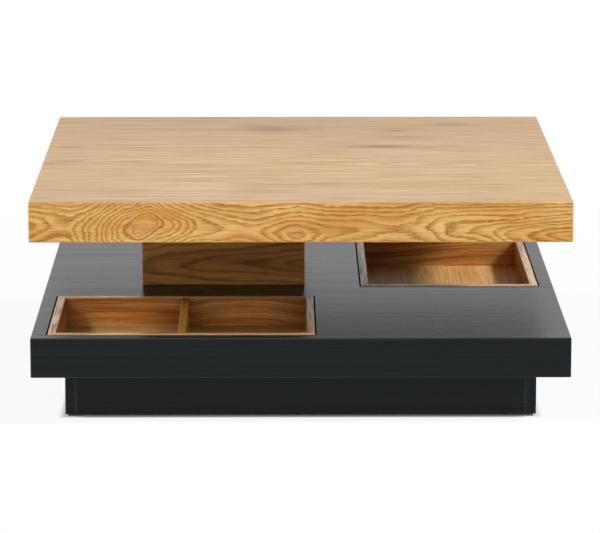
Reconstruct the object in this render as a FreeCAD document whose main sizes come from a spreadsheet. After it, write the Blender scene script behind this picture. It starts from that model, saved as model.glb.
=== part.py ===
import FreeCAD, Part
import os
import re
import Sketcher

# Swivel coffee table in millimetres, +Z up, origin on the floor under the middle of the two boards.
# A square oak top turns on a ball ring above an off-centre pillar.
# The pillar stands on a black shelf of the same plan, which holds two lift-out trays in a pinwheel.
# A recessed plinth carries the shelf.

# Driving dimensions, one sheet cell each
SIZES = {
    # Both hollow boards
    "board_side": "800",
    "top_height": "60",
    "shelf_height": "60",
    "face_thickness": "19",
    "closing_thickness": "8",
    "edge_easing": "1.2",
    "rib_width": "40",
    # Plinth
    "plinth_height": "67",
    "plinth_board": "16",
    "plinth_recess": "48",
    "plinth_lift": "1",
    "plinth_easing": "0.8",
    "corner_block_leg": "40",
    "corner_block_height": "50",
    "fixing_block_length": "60",
    "fixing_block_width": "30",
    "fixing_block_height": "40",
    "plinth_screw_diameter": "6",
    "plinth_screw_length": "66",
    "plinth_screw_head": "12",
    "plinth_screw_head_height": "4",
    "glide_height": "3",
    "glide_diameter": "14",
    "glide_taper": "1",
    "glide_inset": "45",
    # Pillar
    "pillar_side": "256",
    "pillar_wall": "16",
    "pillar_height": "134",
    "pillar_offset": "120",
    "pillar_easing": "1",
    "shadow_gap": "10",
    "head_board_thickness": "18",
    "head_batten": "20",
    "foot_batten": "40",
    "bolt_spacing": "120",
    "bolt_diameter": "8",
    "bolt_length": "85",
    "bolt_head_width": "13",
    "bolt_head_height": "5.3",
    "washer_diameter": "24",
    "washer_thickness": "2",
    "insert_diameter": "12",
    "insert_length": "20",
    # Trays
    "tray_width": "279",
    "tray_spacing": "76",
    "tray_wall": "12",
    "tray_margin": "24",
    "tray_clearance": "2.5",
    "tray_rise": "1",
    "tray_floor": "5",
    "tray_floor_lift": "3",
    "tray_easing": "1",
    "housing_depth": "4",
    "divider_thickness": "12",
    "divider_drop": "1",
    # Swivel bearing
    "ball_diameter": "5",
    "ball_count": "18",
    "ball_circle_radius": "90",
    "ball_play": "0.2",
    "ring_gap": "3",
    "ring_width": "14",
    "ring_thickness": "9",
    "ring_stagger": "1",
    "cage_thickness": "1.2",
    "cage_edge": "1",
    "ring_screw_diameter": "5",
    "ring_screw_head": "9.5",
    "ring_screw_head_height": "3",
    "ring_screw_cover": "1",
    "ring_screw_count": "4",
    "top_screw_diameter": "4",
    "top_screw_head": "8",
    "top_screw_head_height": "3",
    "top_screw_length": "30",
    "top_screw_count": "6",
    "swivel_block_side": "300",
    "top_rib_offset": "170",
    # Room round every screw, bolt and insert
    "screw_play": "0.15",
    # Flats on small round pieces and on their bores
    "pin_flat_count": "12",
}

# Sizes that follow from the others, kept in the sheet as formulas
WORKED_OUT = {
    "tray_length": "=board_side - 2 * tray_margin - tray_width - tray_spacing",
}

# Levels, worked out from the floor up
SHELF_BASE = "(glide_height + plinth_height)"
SHELF_INSIDE = f"({SHELF_BASE} + closing_thickness)"
SHELF_CEILING = f"({SHELF_BASE} + shelf_height - face_thickness)"
SHELF_TOP = f"({SHELF_BASE} + shelf_height)"
TOP_BASE = f"({SHELF_TOP} + pillar_height + shadow_gap)"
TOP_INSIDE = f"({TOP_BASE} + closing_thickness)"
TOP_CEILING = f"({TOP_BASE} + top_height - face_thickness)"
HEAD_TOP = f"({TOP_BASE} - ring_thickness - ring_stagger)"
HEAD_BASE = f"({HEAD_TOP} - head_board_thickness)"

# Places in plan
BOARD_HALF = "(board_side / 2)"
BOARD_CLEAR = "(board_side / 2 - face_thickness)"
PLINTH_HALF = "(board_side / 2 - plinth_recess)"
PLINTH_CLEAR = "(board_side / 2 - plinth_recess - plinth_board)"
PILLAR_X = "(-pillar_offset)"
PILLAR_Y = "pillar_offset"
PILLAR_CLEAR = "(pillar_side / 2 - pillar_wall)"
BOLT_X = "(bolt_spacing / 2)"
BOLT_Y = f"({PILLAR_CLEAR} - foot_batten / 2)"
TRAY_HEIGHT = "(shelf_height - closing_thickness + tray_rise)"
DIVIDED_TRAY_X = f"(tray_margin + tray_length / 2 - {BOARD_HALF})"
DIVIDED_TRAY_Y = f"(tray_margin + tray_width / 2 - {BOARD_HALF})"
OPEN_TRAY_X = f"({BOARD_HALF} - tray_margin - tray_width / 2)"
OPEN_TRAY_Y = f"({BOARD_HALF} - tray_margin - tray_length / 2)"

# Ribs inside the shelf line the cut-outs
FRONT_RIB_LEFT = f"({DIVIDED_TRAY_X} + tray_length / 2 + tray_clearance)"
BACK_RIB_RIGHT = f"({OPEN_TRAY_X} - tray_width / 2 - tray_clearance)"
MIDDLE_RIB_FRONT = f"({DIVIDED_TRAY_Y} + tray_width / 2 + tray_clearance)"
MIDDLE_RIB_BACK = f"({OPEN_TRAY_Y} - tray_length / 2 - tray_clearance)"

FULL_TURN = 360
QUARTER_TURN = 90

# Flats on a ball, seen from above or from the side
BALL_FLATS = 8

# Sides of a box, each a quarter turn on from the one before
SIDES = ("front", "right", "back", "left")

# How close two lengths are taken as equal when edges are picked
SAME = 1e-6

UP = FreeCAD.Vector(0, 0, 1)
ORIGIN = FreeCAD.Vector(0, 0, 0)

doc = FreeCAD.newDocument("SwivelCoffeeTable")
sheet = doc.addObject("Spreadsheet::Sheet", "Sizes")
pieces = []


def fill_sheet():
    """Write each driving dimension into its own cell, with its name beside it."""
    for row, (alias, content) in enumerate({**SIZES, **WORKED_OUT}.items(), start=1):
        sheet.set(f"A{row}", alias.replace("_", " "))
        sheet.set(f"B{row}", content)
        sheet.setAlias(f"B{row}", alias)
    doc.recompute()


def with_sheet(text):
    """Turn each size's name in an expression into a reference to its cell."""
    def cell(word):
        name = word.group()
        return f"Sizes.{name}" if name in SIZES or name in WORKED_OUT else name
    return re.sub(r"[a-z_]+", cell, text)


def value(text):
    """Number that an expression has now."""
    return float(sheet.evalExpression(with_sheet(text)))


def bind(thing, name, text):
    """Tie a property to an expression of the sheet's sizes."""
    thing.setExpression(name, with_sheet(text))


def place(thing, x="0", y="0", z="0"):
    """Tie an object's position to expressions."""
    for axis, text in zip("xyz", (x, y, z)):
        bind(thing, f".Placement.Base.{axis}", text)
    return thing


def piece(thing, label):
    """Name a finished sub-part and keep it for the export."""
    thing.Label = label
    pieces.append((label, thing))
    return thing


def about(centre, size):
    """Low and high ends of a size laid evenly about a centre."""
    return f"({centre}) - ({size}) / 2", f"({centre}) + ({size}) / 2"


def slab(name, x, y, z):
    """Square-edged block between a low and a high end on each axis."""
    block = doc.addObject("Part::Box", name)
    for size, (low, high) in zip(("Length", "Width", "Height"), (x, y, z)):
        bind(block, size, f"({high}) - ({low})")
    return place(block, x[0], y[0], z[0])


def boolean(kind, base, tool):
    """Part boolean of two objects."""
    made = doc.addObject(f"Part::{kind}", f"{base.Name}_{kind.lower()}")
    made.Base = base
    made.Tool = tool
    return made


def grouped(name, members):
    """Several solids as one object."""
    group = doc.addObject("Part::Compound", name)
    group.Links = members
    return group


def new_body(name):
    """Empty PartDesign body."""
    return doc.addObject("PartDesign::Body", name)


def datum(body, role):
    """Origin plane or axis of a body, by its role."""
    return next(part for part in body.Origin.OriginFeatures if part.Role == role)


def feature(body, kind, name, **sizes):
    """Add a feature to a body, with its properties tied to expressions."""
    made = body.newObject(f"PartDesign::{kind}", name)
    for size, text in sizes.items():
        bind(made, size, text)
    body.Tip = made
    return made


def block_feature(body, kind, name, x, y, z):
    """Box feature of a body between a low and a high end on each axis."""
    made = feature(body, kind, name)
    for size, (low, high) in zip(("Length", "Width", "Height"), (x, y, z)):
        bind(made, size, f"({high}) - ({low})")
    return place(made, x[0], y[0], z[0])


def pin_feature(body, name, diameter, length, x="0", y="0", z="0", kind="AdditivePrism"):
    """Upright pin in a body, or a bore where the kind is subtractive."""
    made = feature(body, kind, name, Polygon="pin_flat_count", Height=length)
    bind(made, "Circumradius", f"({diameter}) / 2")
    return place(made, x, y, z)


def sketch_on(body, role, name):
    """Sketch on one of a body's origin planes."""
    sketch = body.newObject("Sketcher::SketchObject", name)
    sketch.AttachmentSupport = (datum(body, role), [""])
    sketch.MapMode = "FlatFace"
    return sketch


def hold_point(sketch, geometry, position, x, y):
    """Dimension a sketch point from the sketch's origin, both ways."""
    for kind, text in (("DistanceX", x), ("DistanceY", y)):
        number = sketch.addConstraint(Sketcher.Constraint(kind, -1, 1, geometry, position, value(text)))
        bind(sketch, f"Constraints[{number}]", text)


def outline(sketch, corners):
    """Closed outline of straight lines through dimensioned corners."""
    points = [FreeCAD.Vector(value(x), value(y), 0) for x, y in corners]
    lines = [
        sketch.addGeometry(Part.LineSegment(start, end))
        for start, end in zip(points, points[1:] + points[:1])
    ]
    for line, following in zip(lines, lines[1:] + lines[:1]):
        sketch.addConstraint(Sketcher.Constraint("Coincident", line, 2, following, 1))
    for line, (x, y) in zip(lines, corners):
        hold_point(sketch, line, 1, x, y)


def rectangle(sketch, x, y):
    """Rectangle between a low and a high end on each sketch axis."""
    outline(sketch, ((x[0], y[0]), (x[1], y[0]), (x[1], y[1]), (x[0], y[1])))


def turned(body, kind, name, sketch):
    """Revolution or groove of a sketch, all the way round the body's upright axis."""
    made = feature(body, kind, name)
    made.Profile = sketch
    made.ReferenceAxis = (sketch, ["V_Axis"])
    made.Angle = FULL_TURN
    return made


def padded(body, name, sketch, length):
    """Pad of a sketch, upwards."""
    made = feature(body, "Pad", name, Length=length)
    made.Profile = sketch
    return made


def around_axis(body, originals, count):
    """Repeat features evenly round the body's upright axis."""
    doc.recompute()
    pattern = feature(body, "PolarPattern", "AroundAxis", Occurrences=count)
    pattern.Originals = originals
    pattern.Axis = (datum(body, "Z_Axis"), [""])
    pattern.Angle = FULL_TURN


def mirror(body, role):
    """Mirror feature about one of a body's origin planes."""
    mirrored = body.newObject("PartDesign::Mirrored", "Mirror")
    mirrored.MirrorPlane = (datum(body, role), [""])
    return mirrored


def to_four_corners(body, originals):
    """Mirror features left to right and front to back."""
    doc.recompute()
    repeat = body.newObject("PartDesign::MultiTransform", "FourCorners")
    repeat.Originals = originals
    repeat.Transformations = [mirror(body, "YZ_Plane"), mirror(body, "XZ_Plane")]
    body.Tip = repeat


def to_front_and_back(body, originals):
    """Mirror features front to back."""
    doc.recompute()
    mirrored = mirror(body, "XZ_Plane")
    mirrored.Originals = originals
    body.Tip = mirrored


def eased_block(name, x, y, z, easing_size):
    """Block with all its edges eased."""
    body = new_body(name)
    block = block_feature(body, "AdditiveBox", "Block", x, y, z)
    doc.recompute()
    easing = feature(body, "Chamfer", "Easing", Size=easing_size)
    easing.Base = (block, ["Edge1"])
    easing.UseAllEdges = True
    return body


def mitred_sides(envelope, x_size, y_size, height, thickness, fold="0"):
    """Four sides of a box, joined by 45 degree mitres, each trimmed by the box's eased envelope.

    The fold is how much lower the inner face ends than the outer one.
    """
    sides = {}
    for quarter, side in enumerate(SIDES):
        length, depth = (x_size, y_size) if side in ("front", "back") else (y_size, x_size)
        wedge = doc.addObject("Part::Wedge", f"{envelope.Name}_{side}_wedge")
        bind(wedge, "Xmin", f"-({length}) / 2")
        bind(wedge, "Xmax", f"({length}) / 2")
        bind(wedge, "X2min", f"({thickness}) - ({length}) / 2")
        bind(wedge, "X2max", f"({length}) / 2 - ({thickness})")
        bind(wedge, "Ymin", f"-({depth}) / 2")
        bind(wedge, "Ymax", f"({thickness}) - ({depth}) / 2")
        bind(wedge, "Zmin", "0")
        bind(wedge, "Zmax", height)
        bind(wedge, "Z2min", "0")
        bind(wedge, "Z2max", f"({height}) - ({fold})")
        wedge.Placement = FreeCAD.Placement(ORIGIN, FreeCAD.Rotation(UP, quarter * QUARTER_TURN))
        sides[side] = boolean("Common", wedge, envelope)
    return sides


def face_panel(envelope, height):
    """Upper panel of a hollow board, bevelled all round to meet the edges in a mitre."""
    wedge = doc.addObject("Part::Wedge", f"{envelope.Name}_face_wedge")
    for axis in "XZ":
        bind(wedge, f"{axis}min", f"-{BOARD_CLEAR}")
        bind(wedge, f"{axis}max", BOARD_CLEAR)
        bind(wedge, f"{axis}2min", f"-{BOARD_HALF}")
        bind(wedge, f"{axis}2max", BOARD_HALF)
    bind(wedge, "Ymin", f"{height} - face_thickness")
    bind(wedge, "Ymax", height)
    lay_flat = FreeCAD.Rotation(FreeCAD.Vector(1, 0, 0), QUARTER_TURN)
    wedge.Placement = FreeCAD.Placement(ORIGIN, lay_flat)
    return boolean("Common", wedge, envelope)


def hollow_board(name, height, base):
    """Face panel and four mitred edges of a hollow board. The panel is returned, still uncut."""
    across = about("0", "board_side")
    envelope = eased_block(f"{name}_envelope", across, across, ("0", height), "edge_easing")
    edges = mitred_sides(envelope, "board_side", "board_side", height, "face_thickness", "face_thickness")
    for side, edge in edges.items():
        piece(place(edge, z=base), f"{name}_edge_{side}")
    return place(face_panel(envelope, height), z=base)


def closing_panel(name, base):
    """Thin panel let in flush between the edges, under a hollow board."""
    across = about("0", f"2 * {BOARD_CLEAR}")
    return slab(name, across, across, (base, f"{base} + closing_thickness"))


def pins_on_circle(name, diameter, length, circle_radius, count):
    """Ring of upright pins about the body's axis, standing on its origin plane."""
    body = new_body(name)
    pin = pin_feature(body, "Pin", diameter, length, x=circle_radius)
    around_axis(body, [pin], count)
    return body


def pins_at_bolts(name, diameter, length):
    """Upright pins at the four pillar bolts, about the pillar's axis."""
    body = new_body(name)
    pin = pin_feature(body, "Pin", diameter, length, BOLT_X, BOLT_Y)
    to_four_corners(body, [pin])
    return body


def tubes_at_bolts(name, outer, inner, length):
    """Upright tubes round the four pillar bolts."""
    body = new_body(name)
    tube = pin_feature(body, "Tube", outer, length, BOLT_X, BOLT_Y)
    bore = pin_feature(body, "Bore", inner, length, BOLT_X, BOLT_Y, kind="SubtractivePrism")
    to_four_corners(body, [tube, bore])
    return body


def loose_fit(diameter):
    """Hole that a screw passes with play."""
    return f"({diameter} + 2 * screw_play)"


def make_plinth():
    """Four boards, the blocks that hold them together and the glides under the side boards."""
    through = about("0", f"2 * {PLINTH_HALF}")
    side_z = ("glide_height", SHELF_BASE)
    for side, x in (
        ("left", (f"-{PLINTH_HALF}", f"-{PLINTH_CLEAR}")),
        ("right", (PLINTH_CLEAR, PLINTH_HALF)),
    ):
        board = eased_block(f"PlinthSide_{side}", x, through, side_z, "plinth_easing")
        piece(board, f"plinth_side_{side}")
    between = about("0", f"2 * {PLINTH_CLEAR}")
    end_z = ("glide_height + plinth_lift", SHELF_BASE)
    for end, y in (
        ("front", (f"-{PLINTH_HALF}", f"-{PLINTH_CLEAR}")),
        ("back", (PLINTH_CLEAR, PLINTH_HALF)),
    ):
        board = eased_block(f"PlinthEnd_{end}", between, y, end_z, "plinth_easing")
        piece(board, f"plinth_{end}")

    corner = new_body("PlinthCorners")
    triangle = sketch_on(corner, "XY_Plane", "Triangle")
    leg_end = f"{PLINTH_CLEAR} - corner_block_leg"
    outline(triangle, ((PLINTH_CLEAR, PLINTH_CLEAR), (leg_end, PLINTH_CLEAR), (PLINTH_CLEAR, leg_end)))
    to_four_corners(corner, [padded(corner, "Block", triangle, "corner_block_height")])
    piece(place(corner, z=f"{SHELF_BASE} - corner_block_height"), "plinth_corner_blocks")

    glides = new_body("Glides")
    foot = feature(
        glides, "AdditiveCone", "Foot",
        Radius1="glide_diameter / 2 - glide_taper", Radius2="glide_diameter / 2", Height="glide_height",
    )
    place(foot, f"{PLINTH_HALF} - plinth_board / 2", f"{PLINTH_HALF} - glide_inset")
    to_four_corners(glides, [foot])
    piece(glides, "floor_glides")


def make_plinth_fixings():
    """Blocks in the plinth with screws up into the shelf's ribs. The screws' bores are returned."""
    from_side = f"({PLINTH_CLEAR} - fixing_block_width / 2)"
    middle_y = f"({MIDDLE_RIB_FRONT} + {MIDDLE_RIB_BACK}) / 2"
    along_x = ("fixing_block_length", "fixing_block_width")
    along_y = ("fixing_block_width", "fixing_block_length")
    fixings = (
        (f"{FRONT_RIB_LEFT} + rib_width / 2", f"-{from_side}", along_x),
        (from_side, middle_y, along_y),
        (f"{BACK_RIB_RIGHT} - rib_width / 2", from_side, along_x),
        (f"-{from_side}", middle_y, along_y),
    )
    base = f"{SHELF_BASE} - fixing_block_height"
    blocks = []
    bores = []
    screws = []
    for x, y, (x_size, y_size) in fixings:
        blocks.append(slab("FixingBlock", about(x, x_size), about(y, y_size), (base, SHELF_BASE)))
        bore = doc.addObject("Part::Prism", "PlinthScrewBore")
        bind(bore, "Polygon", "pin_flat_count")
        bind(bore, "Circumradius", f"{loose_fit('plinth_screw_diameter')} / 2")
        bind(bore, "Height", "plinth_screw_length + screw_play")
        bores.append(place(bore, x, y, base))
        screw = new_body("PlinthScrew")
        head_height = "plinth_screw_head_height"
        pin_feature(screw, "Head", "plinth_screw_head", head_height, z=f"-{head_height}")
        pin_feature(screw, "Shank", "plinth_screw_diameter", "plinth_screw_length")
        screws.append(place(screw, x, y, base))
    bore_group = grouped("PlinthScrewBores", bores)
    piece(boolean("Cut", grouped("FixingBlocks", blocks), bore_group), "plinth_fixing_blocks")
    piece(grouped("PlinthScrews", screws), "plinth_screws")
    return bore_group


def make_shelf(plinth_bores, bolt_bores):
    """Black board with the two tray cut-outs, its ribs and the block under the pillar."""
    panel = hollow_board("shelf", "shelf_height", SHELF_BASE)
    openings = new_body("TrayCutOuts")
    plan = sketch_on(openings, "XY_Plane", "CutOutPlan")
    cut_length = "tray_length + 2 * tray_clearance"
    cut_width = "tray_width + 2 * tray_clearance"
    rectangle(plan, about(DIVIDED_TRAY_X, cut_length), about(DIVIDED_TRAY_Y, cut_width))
    rectangle(plan, about(OPEN_TRAY_X, cut_width), about(OPEN_TRAY_Y, cut_length))
    padded(openings, "CutOuts", plan, "shelf_height")
    place(openings, z=SHELF_INSIDE)
    piece(boolean("Cut", boolean("Cut", panel, openings), bolt_bores), "shelf_panel")

    closing = closing_panel("ShelfClosing", SHELF_BASE)
    piece(boolean("Cut", boolean("Cut", closing, plinth_bores), bolt_bores), "shelf_closing_panel")

    inside_z = (SHELF_INSIDE, SHELF_CEILING)
    across = about("0", f"2 * {BOARD_CLEAR}")
    middle = slab("RibMiddle", across, (MIDDLE_RIB_FRONT, MIDDLE_RIB_BACK), inside_z)
    front_x = (FRONT_RIB_LEFT, f"{FRONT_RIB_LEFT} + rib_width")
    front = slab("RibFront", front_x, (f"-{BOARD_CLEAR}", MIDDLE_RIB_FRONT), inside_z)
    back_x = (f"{BACK_RIB_RIGHT} - rib_width", BACK_RIB_RIGHT)
    back = slab("RibBack", back_x, (MIDDLE_RIB_BACK, BOARD_CLEAR), inside_z)
    for position, rib in (("middle", middle), ("front", front), ("back", back)):
        piece(boolean("Cut", boolean("Cut", rib, plinth_bores), bolt_bores), f"shelf_rib_{position}")

    anchor_x = (about(PILLAR_X, "pillar_side")[0], back_x[0])
    anchor_y = (MIDDLE_RIB_BACK, about(PILLAR_Y, "pillar_side")[1])
    anchor = slab("Anchor", anchor_x, anchor_y, inside_z)
    piece(boolean("Cut", anchor, bolt_bores), "shelf_anchor_block")


def make_pillar():
    """Mitred oak box with foot battens and the bolts that hold it to the shelf, whose bores are returned."""
    across = about("0", "pillar_side")
    envelope = eased_block("PillarEnvelope", across, across, ("0", "pillar_height"), "pillar_easing")
    walls = mitred_sides(envelope, "pillar_side", "pillar_side", "pillar_height", "pillar_wall")
    for side, wall in walls.items():
        piece(place(wall, PILLAR_X, PILLAR_Y, SHELF_TOP), f"pillar_{side}")

    inside = about("0", f"2 * {PILLAR_CLEAR}")
    foot = new_body("FootBattens")
    foot_y = (f"-{PILLAR_CLEAR}", f"foot_batten - {PILLAR_CLEAR}")
    batten = block_feature(foot, "AdditiveBox", "Batten", inside, foot_y, ("0", "foot_batten"))
    to_front_and_back(foot, [batten])
    place(foot, PILLAR_X, PILLAR_Y, SHELF_TOP)
    insert_bores = pins_at_bolts("InsertBores", loose_fit("insert_diameter"), "foot_batten")
    place(insert_bores, PILLAR_X, PILLAR_Y, SHELF_TOP)
    piece(boolean("Cut", foot, insert_bores), "pillar_foot_battens")
    inserts = tubes_at_bolts("Inserts", "insert_diameter", loose_fit("bolt_diameter"), "insert_length")
    piece(place(inserts, PILLAR_X, PILLAR_Y, SHELF_TOP), "pillar_insert_nuts")

    washers = tubes_at_bolts("Washers", "washer_diameter", loose_fit("bolt_diameter"), "washer_thickness")
    washer_base = f"{SHELF_BASE} - washer_thickness"
    piece(place(washers, PILLAR_X, PILLAR_Y, washer_base), "pillar_bolt_washers")
    bolts = new_body("PillarBolts")
    corner_radius = "bolt_head_width / sqrt(3)"
    head = feature(bolts, "AdditivePrism", "Head", Circumradius=corner_radius, Height="bolt_head_height")
    place(head, BOLT_X, BOLT_Y, "-bolt_head_height")
    shank = pin_feature(bolts, "Shank", "bolt_diameter", "bolt_length", BOLT_X, BOLT_Y)
    to_four_corners(bolts, [head, shank])
    piece(place(bolts, PILLAR_X, PILLAR_Y, washer_base), "pillar_bolts")
    bolt_bores = pins_at_bolts("BoltBores", loose_fit("bolt_diameter"), "shelf_height")
    return place(bolt_bores, PILLAR_X, PILLAR_Y, SHELF_BASE)


def make_pillar_head():
    """Board inside the pillar's rim, on four corner battens, with holes for the inner ring's screws."""
    inside_x = about(PILLAR_X, f"2 * {PILLAR_CLEAR}")
    inside_y = about(PILLAR_Y, f"2 * {PILLAR_CLEAR}")
    board = slab("HeadBoard", inside_x, inside_y, (HEAD_BASE, HEAD_TOP))
    screw_circle = "ball_circle_radius - ring_gap / 2 - ring_width / 2"
    bore = loose_fit("ring_screw_diameter")
    bores = pins_on_circle("HeadBores", bore, "head_board_thickness", screw_circle, "ring_screw_count")
    place(bores, PILLAR_X, PILLAR_Y, HEAD_BASE)
    piece(boolean("Cut", board, bores), "pillar_head_board")

    battens = new_body("HeadBattens")
    corner = (f"{PILLAR_CLEAR} - head_batten", PILLAR_CLEAR)
    foot_top = f"({SHELF_TOP} + foot_batten)"
    upright = ("0", f"{HEAD_BASE} - {foot_top}")
    batten = block_feature(battens, "AdditiveBox", "Batten", corner, corner, upright)
    to_four_corners(battens, [batten])
    piece(place(battens, PILLAR_X, PILLAR_Y, foot_top), "pillar_head_battens")


def swivel_ring(label, inner_radius, outer_radius, lift, screw, screw_count):
    """Bearing ring, turned from a rectangle, with a vee race for the balls and a circle of screw holes."""
    ring = new_body(f"{label}_body")
    section = sketch_on(ring, "XZ_Plane", "Section")
    rectangle(section, (inner_radius, outer_radius), ("0", "ring_thickness"))
    turned(ring, "Revolution", "Turned", section)
    race = sketch_on(ring, "XZ_Plane", "Race")
    ball_level = f"((ring_thickness + ring_stagger) / 2 - ({lift}))"
    reach = "(ball_diameter / 2 + ball_play) * sqrt(2)"
    inner_tip, outer_tip = (f"ball_circle_radius {sign} {reach}" for sign in "-+")
    lower_tip, upper_tip = (f"{ball_level} {sign} {reach}" for sign in "-+")
    outline(race, (
        (inner_tip, ball_level),
        ("ball_circle_radius", lower_tip),
        (outer_tip, ball_level),
        ("ball_circle_radius", upper_tip),
    ))
    turned(ring, "Groove", "RaceGroove", race)
    hole_circle = f"({inner_radius} + {outer_radius}) / 2"
    doc.recompute()
    hole = pin_feature(
        ring, "ScrewHole", loose_fit(screw), "ring_thickness", hole_circle, kind="SubtractivePrism",
    )
    around_axis(ring, [hole], screw_count)
    place(ring, PILLAR_X, PILLAR_Y, f"{HEAD_TOP} + {lift}")
    return ring


def ball_section(body, name, radius, level):
    """Level cut through a ball, as a polygon in a sketch of its own."""
    section = sketch_on(body, "XY_Plane", name)
    bind(section, ".AttachmentOffset.Base.z", level)
    turns = [f"{FULL_TURN * flat / BALL_FLATS} deg" for flat in range(BALL_FLATS)]
    outline(section, [
        (f"ball_circle_radius + {radius} * cos({turn})", f"{radius} * sin({turn})") for turn in turns
    ])
    return section


def make_balls(level):
    """Row of balls, each lofted through level cuts between its poles."""
    balls = new_body("Balls")
    half_step = FULL_TURN / BALL_FLATS / 2
    narrow, wide = (f"(ball_diameter / 2 * {function}({half_step} deg))" for function in ("sin", "cos"))
    cuts = ((narrow, f"-{wide}"), (wide, f"-{narrow}"), (wide, narrow), (narrow, wide))
    sections = [
        ball_section(balls, f"Cut{number}", radius, height) for number, (radius, height) in enumerate(cuts)
    ]
    doc.recompute()
    ball = feature(balls, "AdditiveLoft", "Ball")
    ball.Profile = sections[0]
    ball.Sections = sections[1:]
    ball.Ruled = True
    around_axis(balls, [ball], "ball_count")
    piece(place(balls, PILLAR_X, PILLAR_Y, level), "bearing_balls")


def make_cage(level):
    """Thin many-sided band with a pocket round each ball."""
    cage = new_body("Cage")
    sides = "2 * ball_count"
    height = "(ball_diameter + 2 * ball_play + 2 * cage_edge)"
    for kind, sign in (("Additive", "+"), ("Subtractive", "-")):
        to_flat = f"(ball_circle_radius {sign} cage_thickness / 2)"
        to_corner = f"{to_flat} / cos(180 deg / ({sides}))"
        band = feature(cage, f"{kind}Prism", f"{kind}Band", Polygon=sides, Height=height)
        bind(band, "Circumradius", to_corner)
        band.Placement.Rotation = FreeCAD.Rotation(UP, QUARTER_TURN)
        bind(band, ".Placement.Rotation.Angle", f"180 deg / ({sides})")
        place(band, z=f"-{height} / 2")
        doc.recompute()
    pocket = feature(
        cage, "SubtractivePrism", "BallPocket",
        Circumradius="ball_diameter / 2 + ball_play", Height="ball_circle_radius + cage_thickness",
    )
    pocket.Polygon = BALL_FLATS
    along_x = FreeCAD.Rotation(FreeCAD.Vector(0, 1, 0), QUARTER_TURN)
    pocket.Placement = FreeCAD.Placement(ORIGIN, along_x)
    around_axis(cage, [pocket], "ball_count")
    piece(place(cage, PILLAR_X, PILLAR_Y, level), "ball_cage")


def make_swivel():
    """Two grooved rings with a caged row of balls between them, and the inner ring's screws."""
    inner_face = "(ball_circle_radius - ring_gap / 2)"
    outer_face = "(ball_circle_radius + ring_gap / 2)"
    inner_bore = f"({inner_face} - ring_width)"
    outer_rim = f"({outer_face} + ring_width)"
    screw = "ring_screw_diameter"
    inner = swivel_ring("swivel_inner_ring", inner_bore, inner_face, "0", screw, "ring_screw_count")
    piece(inner, "swivel_inner_ring")
    screw = "top_screw_diameter"
    outer = swivel_ring("swivel_outer_ring", outer_face, outer_rim, "ring_stagger", screw, "top_screw_count")
    seat = loose_fit("top_screw_head")
    seat_depth = "top_screw_head_height + screw_play"
    seat_circle = f"({outer_face} + {outer_rim}) / 2"
    seats = pins_on_circle("HeadSeats", seat, seat_depth, seat_circle, "top_screw_count")
    place(seats, PILLAR_X, PILLAR_Y, f"{HEAD_TOP} + ring_stagger")
    piece(boolean("Cut", outer, seats), "swivel_outer_ring")

    ball_level = f"{HEAD_TOP} + (ring_thickness + ring_stagger) / 2"
    make_balls(ball_level)
    make_cage(ball_level)

    inner_screws = new_body("InnerScrews")
    screw_circle = f"({inner_bore} + {inner_face}) / 2"
    head_height = "ring_screw_head_height"
    head_base = f"-{head_height}"
    head = pin_feature(inner_screws, "Head", "ring_screw_head", head_height, screw_circle, z=head_base)
    reach = "head_board_thickness + ring_thickness - ring_screw_cover"
    shank = pin_feature(inner_screws, "Shank", "ring_screw_diameter", reach, screw_circle)
    around_axis(inner_screws, [head, shank], "ring_screw_count")
    piece(place(inner_screws, PILLAR_X, PILLAR_Y, HEAD_BASE), "inner_ring_screws")


def make_top():
    """Oak board with its ribs, the block over the pillar and the screws that hold the outer ring."""
    piece(hollow_board("top", "top_height", TOP_BASE), "top_panel")

    ring_base = f"{HEAD_TOP} + ring_stagger"
    screw_circle = "ball_circle_radius + ring_gap / 2 + ring_width / 2"
    bore = loose_fit("top_screw_diameter")
    bore_length = "top_screw_length + screw_play"
    bores = pins_on_circle("TopScrewBores", bore, bore_length, screw_circle, "top_screw_count")
    place(bores, PILLAR_X, PILLAR_Y, ring_base)
    piece(boolean("Cut", closing_panel("TopClosing", TOP_BASE), bores), "top_closing_panel")
    inside_z = (TOP_INSIDE, TOP_CEILING)
    block_x = about(PILLAR_X, "swivel_block_side")
    block_y = about(PILLAR_Y, "swivel_block_side")
    piece(boolean("Cut", slab("SwivelBlock", block_x, block_y, inside_z), bores), "top_swivel_block")

    screws = new_body("TopScrews")
    head = pin_feature(screws, "Head", "top_screw_head", "top_screw_head_height", screw_circle)
    shank = pin_feature(screws, "Shank", "top_screw_diameter", "top_screw_length", screw_circle)
    around_axis(screws, [head, shank], "top_screw_count")
    piece(place(screws, PILLAR_X, PILLAR_Y, ring_base), "outer_ring_screws")

    across = about("0", f"2 * {BOARD_CLEAR}")
    front_y = about("-top_rib_offset", "rib_width")
    piece(slab("TopRibFront", across, front_y, inside_z), "top_rib_front")
    right_x = about("top_rib_offset", "rib_width")
    right_y = (front_y[1], BOARD_CLEAR)
    piece(slab("TopRibRight", right_x, right_y, inside_z), "top_rib_right")


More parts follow.
